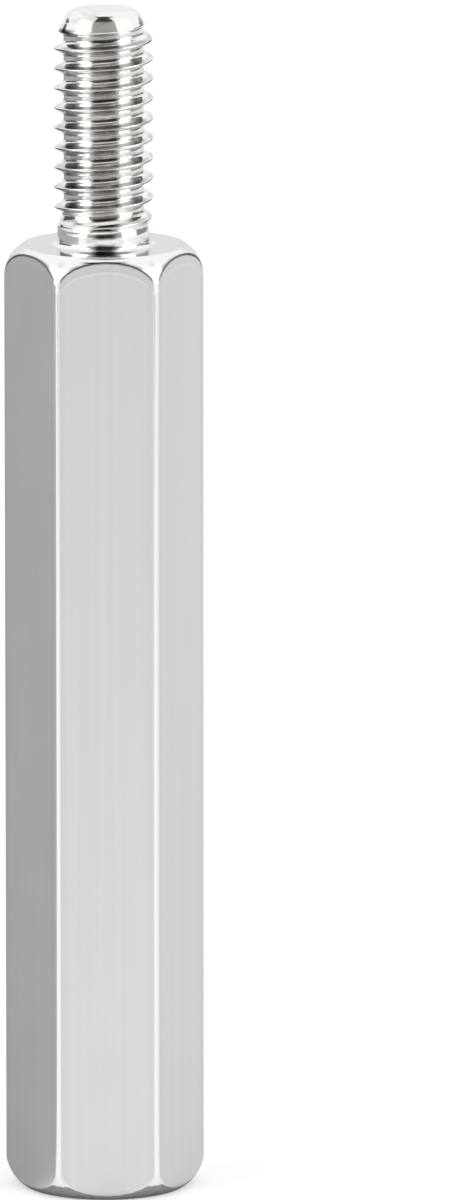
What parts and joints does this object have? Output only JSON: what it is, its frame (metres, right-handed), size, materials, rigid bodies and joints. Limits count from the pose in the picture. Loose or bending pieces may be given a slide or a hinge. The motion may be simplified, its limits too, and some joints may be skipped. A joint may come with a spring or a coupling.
{
  "type": "hex standoff",
  "caption": "Male-female hexagonal spacer: a hex body with its ends turned round, a threaded stud on one end and a tapped hole in the other.",
  "frame": {"origin": "middle of the flat face at the tapped end, on the hexagon's axis", "axes": "+Z along the axis, from the tapped end to the stud; two corners of the hexagon point along +X and -X, and a flat faces -Y"},
  "size_m": [0.004, 0.0036, 0.0239],
  "materials": {
    "plated_metal": "satin"
  },
  "bodies": {
    "root": {"standoff": "plated_metal"}
  },
  "joints": []
}
